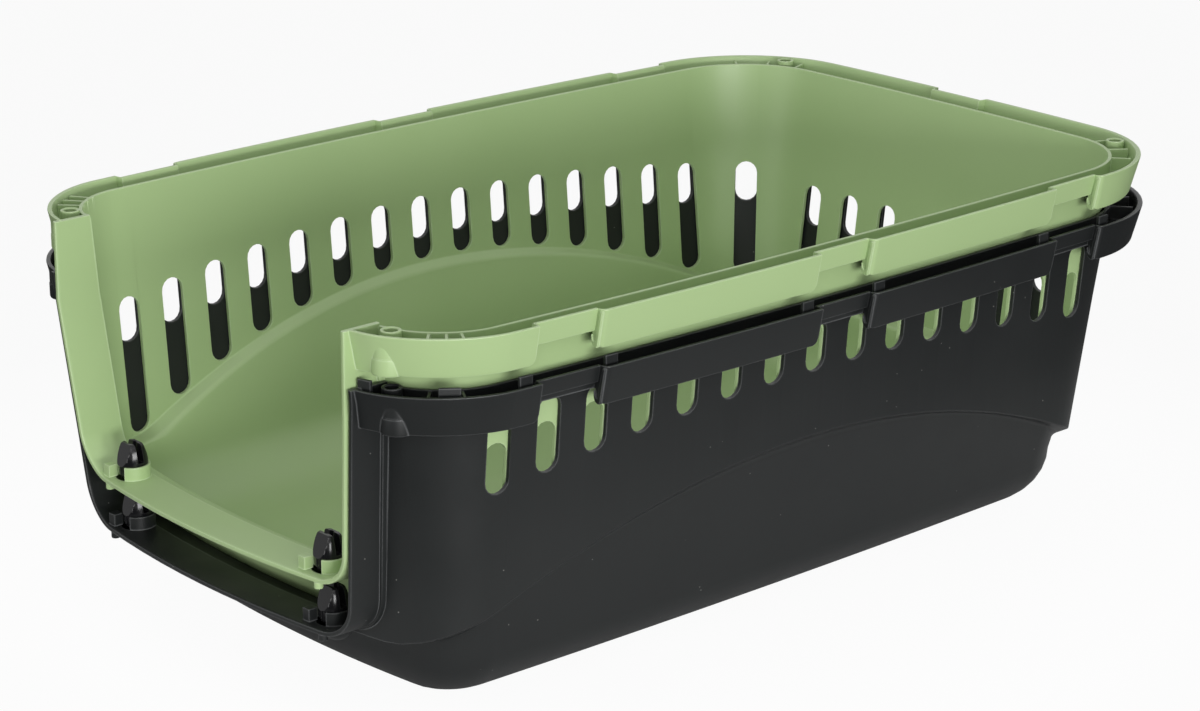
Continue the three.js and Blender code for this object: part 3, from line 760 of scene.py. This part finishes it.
# %% Frame round the door opening
def add_band(target, half, top, near, far, band):
    """Sweeps a band's section along the opening, between two distances outside its outline."""
    inner, outer = door_outline(half, top, near), door_outline(half, top, far)
    mesh = bmesh.new()
    face = None
    for (x, depth), (outer_x, outer_depth) in zip(inner, outer):
        ox, od = outer_x - x, outer_depth - depth
        points = [place(half, x + ox * share, y, depth + od * share) for share, y in band(half, x, depth)]
        if face is None:
            face = mesh.faces.new([mesh.verts.new(p) for p in points])
            ring = list(face.verts)
            continue
        ring = next_ring(mesh, ring)
        for vertex, point in zip(ring, points):
            vertex.co = point
    close_end(mesh, ring)
    merge_into(target, mesh)


def frame_band(half, x, depth):
    """The frame itself: thin, rounded at its proud front edge."""
    front, rear = frame_front(half, x, depth), front_wall_y(x, depth, half, wall) + 0.05
    section = [(0, front + 1.8), (0, front + 0.7), (0.12, front + 0.2), (0.3, front), (0.7, front)]
    return section + [(0.9, front + 0.2), (1, front + 0.7), (1, front + 1.8), (1, rear), (0, rear)]


def corner_band(half, x, depth):
    """A fine ridge along the corner where the frame's outer face meets the wall."""
    rear = front_wall_y(x, depth, half, 0)
    section = [(0, rear - 2), (0.7, rear - 1.9), (0.95, rear - 1.6), (1, rear - 1.2)]
    return section + [(1, rear + 1.2), (0, rear + 1.2)]


# %% [markdown]
# On the sill, each door catch sits in a low C-shaped wall, open towards the front, beside a square stop.
# A nub hangs below each, and the base has a shallow dome under each catch.


# %% Seats of the door catches
socket_start, socket_sweep = math.radians(-63), math.radians(266)
stop_size, stop_across, stop_forward = 4.5, -6.8, -7.3
nub_across, nub_behind_edge, dome_radius, dome_height, dome_back = 4.5, 3, 7.3, 6.8, 1.5


def socket_wall():
    """A ring segment spun from its cross-section, open from minus 157 to minus 63 degrees."""
    mesh = bmesh.new()
    profile = [(6, 1.1), (6, -5.5), (6.2, -5.9), (6.5, -6), (7.4, -6), (7.7, -5.9), (7.8, -5.5), (7.8, 1.1)]
    across, along = math.cos(socket_start), math.sin(socket_start)
    points = [(r * MM * across, r * MM * along, -depth * MM) for r, depth in profile]
    face = mesh.faces.new([mesh.verts.new(point) for point in points])
    bmesh.ops.spin(
        mesh, geom=list(face.edges) + list(face.verts) + [face], cent=(0, 0, 0), axis=(0, 0, 1),
        angle=socket_sweep, steps=44,
    )
    bmesh.ops.recalc_face_normals(mesh, faces=mesh.faces)
    return mesh


def add_seats(target, half):
    for x in (-catch_x, catch_x):
        spot = Matrix.Translation(place(half, x, half["catch_y"], sill_depth))
        merge_into(target, socket_wall(), spot)
        merge_into(target, post(7.8, 0, frame_wall, 0.05, 48), spot)
        merge_into(target, block(stop_size, stop_size, -5.5, 1.1), beside(spot, stop_across, stop_forward))
        nub_y = frame_front(half, x, sill_depth) + nub_behind_edge - half["catch_y"]
        nub_spot = beside(spot, math.copysign(nub_across, x), nub_y)
        merge_into(target, post(2, 1.1, frame_wall + 3, 0.6, 20), nub_spot)
        if half["slots_hang"]:
            turns = np.linspace(0.12, math.pi / 2 - 0.02, 14)
            profile = [(6, -frame_wall + 1), (6, -frame_wall - 0.7)]
            profile += [(dome_radius * math.cos(t), -frame_wall - dome_height * math.sin(t)) for t in turns]
            merge_into(target, lathe(profile, 56), beside(spot, 0, dome_back))


# %% Make a whole half
def smooth_by_angle(piece, degrees=35):
    """Smooth shading, with normals weighted by area so that small bevels don't tint the broad walls."""
    piece.data.polygons.foreach_set("use_smooth", [True] * len(piece.data.polygons))
    piece.data.set_sharp_from_angle(angle=math.radians(degrees))
    even = piece.modifiers.new("even_normals", "WEIGHTED_NORMAL")
    even.keep_sharp = True
    even.weight = 80
    apply_modifiers(piece)


def make_half(half):
    mesh, rows, inside_count = extrude_shell(half)
    slots = open_slots(mesh, rows, inside_count)
    piece = object_of(mesh, half["name"])
    cut_door(piece, half)
    details = bmesh.new()
    details.from_mesh(piece.data)
    add_band(details, half, 0.3, 0, frame_wall, frame_band)
    add_band(details, half, 15, frame_wall - 0.4, frame_wall + 1, corner_band)
    add_bosses(details, half)
    add_fins(details, half)
    add_gap_plates(details, half)
    add_seats(details, half)
    if half["slots_hang"]:
        add_tabs(details, half)
    details.to_mesh(piece.data)
    details.free()
    smooth_by_angle(piece)
    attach(piece, half["body"])
    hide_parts(half["node"])
    print(half["name"], slots, "slots,", len(piece.data.polygons), "faces")
    return piece


green_shell = make_half(green_half)
black_shell = make_half(black_half)

# %% [markdown]
# A door catch is a small glossy moulding: a round foot that turns in the socket, a wider head that tapers
# to two prongs, and a leg that comes down in the socket's opening. It is a lathed body with the slot and
# the pin hole cut out of it.


# %% Door catches
def catch_object(name):
    mesh = lathe([
        (5.2, 0.3), (5.6, 0.4), (5.7, 0.8), (5.7, 5.4), (6.4, 5.5), (6.8, 5.9), (6.9, 6.4), (6.8, 8.2),
        (6.4, 10.6), (5.8, 13.0), (5.1, 15.0), (4.6, 15.5), (4.0, 15.7),
    ], 48)
    leg = block(2.8, 6.2, -7, -1.4, 0.4)
    bmesh.ops.translate(leg, vec=(0, -3.1 * MM, 0), verts=leg.verts)
    merge_into(mesh, leg, Matrix.Rotation(math.radians(-20), 4, "Z"))
    return object_of(mesh, name)


def make_catch(half, side, name):
    piece = catch_object(f"{name}_door_catch_{side}_moulding")
    cut_with(piece, block(20, 3, -20, -7.5, 0.01), True)
    cut_with(piece, post(2.2, -20, -6, 0.01, 32), True)
    for side_way in (-1, 1):
        slant = block(20, 6, -22, -4, 0.01)
        bmesh.ops.transform(slant, matrix=Matrix.Rotation(side_way * 0.36, 4, "X"), verts=slant.verts)
        bmesh.ops.translate(slant, vec=(0, side_way * 12.2 * MM, 0), verts=slant.verts)
        cut_with(piece, slant, True)
    mesh = bmesh.new()
    mesh.from_mesh(piece.data)
    bmesh.ops.remove_doubles(mesh, verts=mesh.verts, dist=0.01 * MM)
    bevel_sharp(mesh, 0.22, 0.7)
    x = catch_x if side == "right" else -catch_x
    bmesh.ops.translate(mesh, vec=place(half, x, half["catch_y"], sill_depth), verts=mesh.verts)
    mesh.to_mesh(piece.data)
    mesh.free()
    smooth_by_angle(piece, 40)
    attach(piece, f"{name}_catch_{side}")
    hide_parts(f"{name}_door_catch_{side}")
    return piece


named_halves = ((black_half, "base"), (green_half, "top"))
catches = [make_catch(half, side, name) for half, name in named_halves for side in ("left", "right")]
print([(piece.name, len(piece.data.polygons)) for piece in catches])

# %% [markdown]
# All pieces are coloured right through, so they carry no paint. What makes them look real is small: the fine
# grain that the mould leaves, edges paled partly as rubbed wear and partly as a painted highlight, and dust
# on what faces up. Each effect is a node group with its own inputs, placed in each plastic with its own
# values.


# %% Node groups for grain, edges paled by wear and a painted highlight, and dust
def new_group(name, inputs, output):
    """A node group with number inputs and one output that is a mask or a height."""
    group = bpy.data.node_groups.new(name, "ShaderNodeTree")
    for label in inputs:
        group.interface.new_socket(label, in_out="INPUT", socket_type="NodeSocketFloat")
    group.interface.new_socket(output, in_out="OUTPUT", socket_type="NodeSocketFloat")
    ends = group.nodes.new("NodeGroupInput"), group.nodes.new("NodeGroupOutput")
    return group, ends[0].outputs, ends[1].inputs


def node(tree, kind, links=(), **settings):
    """Adds a node with its settings, and joins sockets or puts numbers on its inputs."""
    made = tree.nodes.new(kind)
    for key, value in settings.items():
        setattr(made, key, value)
    for key, value in dict(links).items():
        if isinstance(value, bpy.types.NodeSocket):
            tree.links.new(value, made.inputs[key])
        else:
            made.inputs[key].default_value = value
    return made


def math_node(tree, operation, first, second, clamp=False):
    made = node(tree, "ShaderNodeMath", {0: first, 1: second}, operation=operation, use_clamp=clamp)
    return made.outputs[0]


def noise(tree, scale, detail, rough=0.5):
    coordinates = node(tree, "ShaderNodeTexCoord").outputs["Object"]
    links = {"Vector": coordinates, "Scale": scale, "Detail": detail, "Roughness": rough}
    return node(tree, "ShaderNodeTexNoise", links).outputs["Fac"]


def ramp(tree, value, low, high, to_low=0.0, to_high=1.0):
    links = {"Value": value, "From Min": low, "From Max": high, "To Min": to_low, "To Max": to_high}
    return node(tree, "ShaderNodeMapRange", links).outputs["Result"]


def grain_group():
    """Height of the mould's fine grain over a slight waviness of the wall."""
    group, given, out = new_group("moulded_grain", ["Grains per metre", "Waviness"], "Height")
    fine = noise(group, given["Grains per metre"], 2.0, 0.6)
    wave = math_node(group, "MULTIPLY", noise(group, 16, 1.0), given["Waviness"])
    group.links.new(math_node(group, "ADD", fine, wave), out["Height"])
    return group


def worn_and_highlit_edge_group():
    """Mask of convex edges, for rubbed wear and a painted highlight, broken up by a noise as rubbing breaks
    up.
    """
    group, given, out = new_group("worn_and_highlit_edges", ["Start", "Full", "Evenness"], "Mask")
    shape = node(group, "ShaderNodeNewGeometry").outputs
    rounded = node(group, "ShaderNodeBevel", {"Radius": 0.9 * MM}, samples=6).outputs["Normal"]
    turned = node(group, "ShaderNodeVectorMath", {0: rounded, 1: shape["Normal"]}, operation="DOT_PRODUCT")
    turned_away = math_node(group, "SUBTRACT", 1.0, turned.outputs["Value"])
    near_edge = ramp(group, turned_away, given["Start"], given["Full"])
    edge = math_node(group, "MULTIPLY", near_edge, ramp(group, shape["Pointiness"], 0.49, 0.52))
    broken = math_node(group, "ADD", noise(group, 90, 4.0), given["Evenness"], True)
    group.links.new(math_node(group, "MULTIPLY", edge, broken), out["Mask"])
    return group


def dust_group():
    """Mask of dust: a film on what faces up, and single specks anywhere."""
    group, given, out = new_group("settled_dust", ["Film", "Specks", "Speck size"], "Mask")
    coordinates = node(group, "ShaderNodeTexCoord")
    up = node(group, "ShaderNodeSeparateXYZ", {0: coordinates.outputs["Normal"]}).outputs["Z"]
    facing_up, patches = ramp(group, up, 0.2, 0.95), ramp(group, noise(group, 40, 4.0), 0.4, 0.7)
    film = math_node(group, "MULTIPLY", facing_up, patches)
    film = math_node(group, "MULTIPLY", film, given["Film"])
    cells = node(group, "ShaderNodeTexVoronoi", {"Vector": coordinates.outputs["Object"], "Scale": 190.0})
    near = math_node(group, "LESS_THAN", cells.outputs["Distance"], given["Speck size"])
    cell_value = node(group, "ShaderNodeSeparateColor", {0: cells.outputs["Color"]}).outputs[0]
    rare = math_node(group, "GREATER_THAN", cell_value, 0.8)
    specks = math_node(group, "MULTIPLY", math_node(group, "MULTIPLY", near, rare), given["Specks"])
    group.links.new(math_node(group, "ADD", film, specks, True), out["Mask"])
    return group


grain, edges, dust = grain_group(), worn_and_highlit_edge_group(), dust_group()
print("node groups:", [group.name for group in (grain, edges, dust)])


# %% [markdown]
# The green and the charcoal are polypropylene, a satin plastic with a soft, low gloss. The catches are a
# harder, glossy black. One recipe serves all three, with each finish in its own few numbers.


# %% Plastics
def effect(tree, group, values):
    return node(tree, "ShaderNodeGroup", values, node_tree=group).outputs[0]


def mixed(tree, share, first, second):
    """Two colours mixed by a mask. The first may come from another node."""
    first = first if isinstance(first, bpy.types.NodeSocket) else (*first, 1)
    return node(tree, "ShaderNodeMix", {0: share, 6: first, 7: (*second, 1)}, data_type="RGBA").outputs[2]


def plastic(finish):
    material = bpy.data.materials.new(finish["name"])
    material.use_nodes = True
    tree = material.node_tree
    shader = tree.nodes["Principled BSDF"]
    shader.inputs["Specular IOR Level"].default_value = finish["shine"]
    flow = ramp(tree, noise(tree, 9, 2.0), 0.3, 0.7)
    color = mixed(tree, flow, finish["color"], finish["flow_color"])
    # The edge colour paints a pale highlight along the convex edges, besides their rubbed wear.
    color = mixed(tree, effect(tree, edges, finish["edges"]), color, finish["wear_and_highlight_edge_color"])
    color = mixed(tree, effect(tree, dust, finish["dust"]), color, (0.45, 0.45, 0.42))
    tree.links.new(color, shader.inputs["Base Color"])
    rough = ramp(tree, noise(tree, 34, 4.0), 0.25, 0.75, *finish["roughness"])
    tree.links.new(rough, shader.inputs["Roughness"])
    height = effect(tree, grain, finish["grain"])
    bump = node(tree, "ShaderNodeBump", {"Height": height, "Strength": finish["bump"], "Distance": 0.02 * MM})
    tree.links.new(bump.outputs["Normal"], shader.inputs["Normal"])
    return material


# Each finish's edge colour is both a rubbed-wear tone and a painted edge highlight.
green_plastic = plastic({
    "name": "light_green_plastic", "color": (0.355, 0.488, 0.232), "flow_color": (0.372, 0.503, 0.246),
    "shine": 0.5, "roughness": (0.36, 0.44), "bump": 0.5, "wear_and_highlight_edge_color": (0.5, 0.62, 0.38),
    "edges": {"Start": 0.01, "Full": 0.12, "Evenness": 0.4},
    "dust": {"Film": 0.04, "Specks": 0.25, "Speck size": 0.03},
    "grain": {"Grains per metre": 900.0, "Waviness": 3.0},
})
charcoal_plastic = plastic({
    "name": "charcoal_plastic", "color": (0.0105, 0.0118, 0.012), "flow_color": (0.0135, 0.015, 0.015),
    "shine": 0.33, "roughness": (0.36, 0.46), "bump": 0.6, "wear_and_highlight_edge_color": (0.1, 0.104, 0.106),
    "edges": {"Start": 0.006, "Full": 0.1, "Evenness": 0.35},
    "dust": {"Film": 0.03, "Specks": 0.5, "Speck size": 0.05},
    "grain": {"Grains per metre": 1100.0, "Waviness": 3.0},
})
gloss_plastic = plastic({
    "name": "black_gloss_plastic", "color": (0.006, 0.006, 0.007), "flow_color": (0.008, 0.008, 0.009),
    "shine": 0.25, "roughness": (0.13, 0.18), "bump": 0.2, "wear_and_highlight_edge_color": (0.03, 0.03, 0.03),
    "edges": {"Start": 0.02, "Full": 0.2, "Evenness": 0.3},
    "dust": {"Film": 0.0, "Specks": 0.3, "Speck size": 0.03},
    "grain": {"Grains per metre": 500.0, "Waviness": 2.0},
})
green_shell.data.materials.append(green_plastic)
black_shell.data.materials.append(charcoal_plastic)
for piece in catches:
    piece.data.materials.append(gloss_plastic)
print("materials:", [material.name for material in (green_plastic, charcoal_plastic, gloss_plastic)])

# %% [markdown]
# The photograph is a cut-out on pure white. So the camera sees a white world, and a floor that is mostly
# white of its own and only a little lit, which leaves a faint shadow. Diffuse light comes from a softer
# grey world, so that the object is lit at a plain level by the softboxes, and not washed out by the white.


# %% White surroundings
def seen_directly(tree, kinds):
    """One for rays of the given kinds, and nought for all others."""
    path = node(tree, "ShaderNodeLightPath")
    total = path.outputs[kinds[0]]
    for kind in kinds[1:]:
        total = math_node(tree, "MAXIMUM", total, path.outputs[kind])
    return total


world = bpy.data.worlds.new("studio_world")
bpy.context.scene.world = world
world.use_nodes = True
surround = seen_directly(world.node_tree, ["Is Camera Ray", "Is Glossy Ray", "Is Transmission Ray"])
world_strength = ramp(world.node_tree, surround, 0.0, 1.0, 0.45, 1.0)
background = world.node_tree.nodes["Background"]
background.inputs["Color"].default_value = (1, 1, 1, 1)
world.node_tree.links.new(world_strength, background.inputs["Strength"])


def floor_material():
    material = bpy.data.materials.new("backdrop_with_painted_light_pool")
    material.use_nodes = True
    tree = material.node_tree
    shader = tree.nodes["Principled BSDF"]
    place_on_floor = node(tree, "ShaderNodeTexCoord").outputs["Object"]
    distance = node(tree, "ShaderNodeVectorMath", {0: place_on_floor}, operation="LENGTH").outputs["Value"]
    # The floor's own colour falls from pale next to the object to dark further out: a painted pool of light,
    # seen in the object's sheen and bounce light.
    painted_light_pool = ramp(tree, distance, 0.27, 0.42, 0.85, 0.06)
    tree.links.new(painted_light_pool, shader.inputs["Base Color"])
    shader.inputs["Roughness"].default_value = 0.9
    shader.inputs["Specular IOR Level"].default_value = 0.1
    white = node(tree, "ShaderNodeEmission", {"Color": (1, 1, 1, 1), "Strength": 1.0})
    share = ramp(tree, seen_directly(tree, ["Is Camera Ray"]), 0.0, 1.0, 0.0, 0.95)
    blend = node(tree, "ShaderNodeMixShader", {0: share, 1: shader.outputs[0], 2: white.outputs[0]})
    tree.links.new(blend.outputs[0], tree.nodes["Material Output"].inputs["Surface"])
    return material


floor_mesh = bmesh.new()
bmesh.ops.create_grid(floor_mesh, x_segments=1, y_segments=1, size=6)
floor = object_of(floor_mesh, "studio_floor")
floor.data.materials.append(floor_material())
print("floor", floor.name, "world", world.name)


# %% [markdown]
# The near side is the brightest and the inside falls off gently, so the key is a large softbox at the
# right of the camera. A narrow strip beside the camera adds small sharp highlights.


# %% Softboxes
def soft_light(name, where, aim, size, power):
    light = bpy.data.lights.new(name, "AREA")
    light.shape = "RECTANGLE"
    light.size, light.size_y = size
    light.energy = power
    lamp = bpy.data.objects.new(name, light)
    bpy.context.scene.collection.objects.link(lamp)
    lamp.location = where
    lamp.rotation_euler = (Vector(aim) - Vector(where)).to_track_quat("-Z", "Y").to_euler()


soft_light("low_softbox", (1.9, -0.75, 0.24), (0, -0.05, 0.1), (1.3, 0.4), 31)
soft_light("side_softbox", (1.7, -0.9, 1.2), (0, 0, 0.1), (1.0, 0.8), 2.5)
soft_light("front_softbox", (-0.2, -2.2, 0.25), (0, -0.2, 0.1), (1.0, 0.4), 6.5)
soft_light("top_softbox", (-0.2, -0.3, 1.8), (0, 0, 0.1), (1.4, 1.4), 5)
soft_light("strip_light", (1.45, -1.55, 0.95), (0, 0.1, 0.1), (0.08, 1.0), 2.5)
bpy.context.scene.view_settings.view_transform = "Standard"
